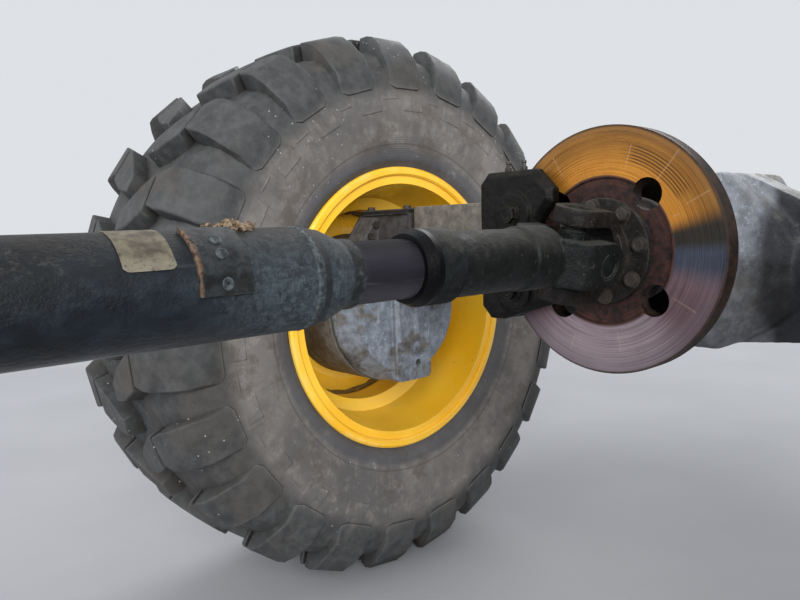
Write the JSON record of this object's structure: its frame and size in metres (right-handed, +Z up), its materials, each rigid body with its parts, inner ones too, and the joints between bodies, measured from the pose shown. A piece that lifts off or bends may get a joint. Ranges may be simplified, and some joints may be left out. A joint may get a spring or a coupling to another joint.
{
  "type": "wheel loader drive axle with wheels and propeller shaft",
  "caption": "Driven portal axle of a compact wheel loader with wheels, pinion brake disc and calliper, and a propeller shaft with slip joint and universal joints",
  "frame": {"origin": "centre of the two frame pads, in the plane of their top faces", "axes": "+X forward from propeller shaft to axle, +Y left along the axle, +Z up"},
  "size_m": [1.7733, 1.939, 1.0748],
  "materials": {
    "grey_casting": "grey paint, worn and dusty",
    "hub_paint": "grey paint under dirt",
    "rim_yellow": "glossy yellow paint, dusty inside",
    "tyre_rubber": "dusty rubber",
    "disc_iron": "turned and scored face, rusty centre and edge",
    "dark_steel": "dark forging with dust",
    "bolt_steel": "dirty steel",
    "seal_rubber": "black rubber",
    "spline_coating": "plum-grey slide coating",
    "tube_paint": "blue-black paint, scuffed",
    "calliper_iron": "dark casting with dust",
    "lining": "brake lining"
  },
  "bodies": {
    "axle": {"centre_housing": "grey_casting", "housing_cover": "grey_casting", "pinion_nose": "grey_casting", "axle_beam_left": "grey_casting", "axle_beam_right": "grey_casting", "drop_case_left": "grey_casting", "drop_case_right": "grey_casting", "case_lid_left": "grey_casting", "case_lid_right": "grey_casting", "drop_cover_left": "grey_casting", "drop_cover_right": "grey_casting", "calliper_body": "calliper_iron", "calliper_bracket": "calliper_iron", "brake_lining_rear": "lining", "brake_lining_front": "lining"},
    "wheel_left": {"tyre_left": "tyre_rubber", "rim_left": "rim_yellow", "hub_left": "hub_paint"},
    "wheel_right": {"tyre_right": "tyre_rubber", "rim_right": "rim_yellow", "hub_right": "hub_paint"},
    "pinion": {"brake_disc": "disc_iron", "companion_flange": "dark_steel", "flange_bolts": "bolt_steel", "near_flange_yoke": "dark_steel", "near_flange_cups": "bolt_steel"},
    "near_spider": {"near_cross": "bolt_steel"},
    "slip_end": {"slip_yoke": "dark_steel", "slip_yoke_cups": "bolt_steel", "seal_ring": "seal_rubber"},
    "sliding_shaft": {"spline_sleeve": "spline_coating", "tube_neck": "tube_paint", "main_tube": "tube_paint", "balance_plate": "tube_paint", "tube_yoke": "dark_steel", "tube_yoke_cups": "bolt_steel"},
    "far_spider": {"far_cross": "bolt_steel"},
    "far_flange": {"far_flange_yoke": "dark_steel", "far_flange_cups": "bolt_steel"}
  },
  "joints": [
    {"name": "wheel_left_spin", "type": "hinge", "parent": "axle", "child": "wheel_left", "pos_m": [0, 0.767, -0.198], "axis": [0, 1, 0], "continuous": true},
    {"name": "wheel_right_spin", "type": "hinge", "parent": "axle", "child": "wheel_right", "pos_m": [0, -0.767, -0.198], "axis": [0, 1, 0], "continuous": true},
    {"name": "pinion_spin", "type": "hinge", "parent": "axle", "child": "pinion", "pos_m": [-0.242, 0, -0.07], "axis": [1, 0, 0], "continuous": true},
    {"name": "near_joint_flange_pin", "type": "hinge", "parent": "pinion", "child": "near_spider", "pos_m": [-0.308, 0, -0.07], "axis": [0, -0.2419, 0.9703], "range_deg": [-20, 20]},
    {"name": "near_joint_slip_pin", "type": "hinge", "parent": "near_spider", "child": "slip_end", "pos_m": [-0.308, 0, -0.07], "axis": [0, -0.9703, -0.2419], "range_deg": [-20, 20]},
    {"name": "slip_joint", "type": "slide", "parent": "slip_end", "child": "sliding_shaft", "axis": [-1, 0, 0], "range_m": [-0.03, 0.05]},
    {"name": "far_joint_tube_pin", "type": "hinge", "parent": "sliding_shaft", "child": "far_spider", "pos_m": [-1.168, 0, -0.07], "axis": [0, -0.9703, -0.2419], "range_deg": [-20, 20]},
    {"name": "far_joint_flange_pin", "type": "hinge", "parent": "far_spider", "child": "far_flange", "pos_m": [-1.168, 0, -0.07], "axis": [0, -0.2419, 0.9703], "range_deg": [-20, 20]}
  ]
}
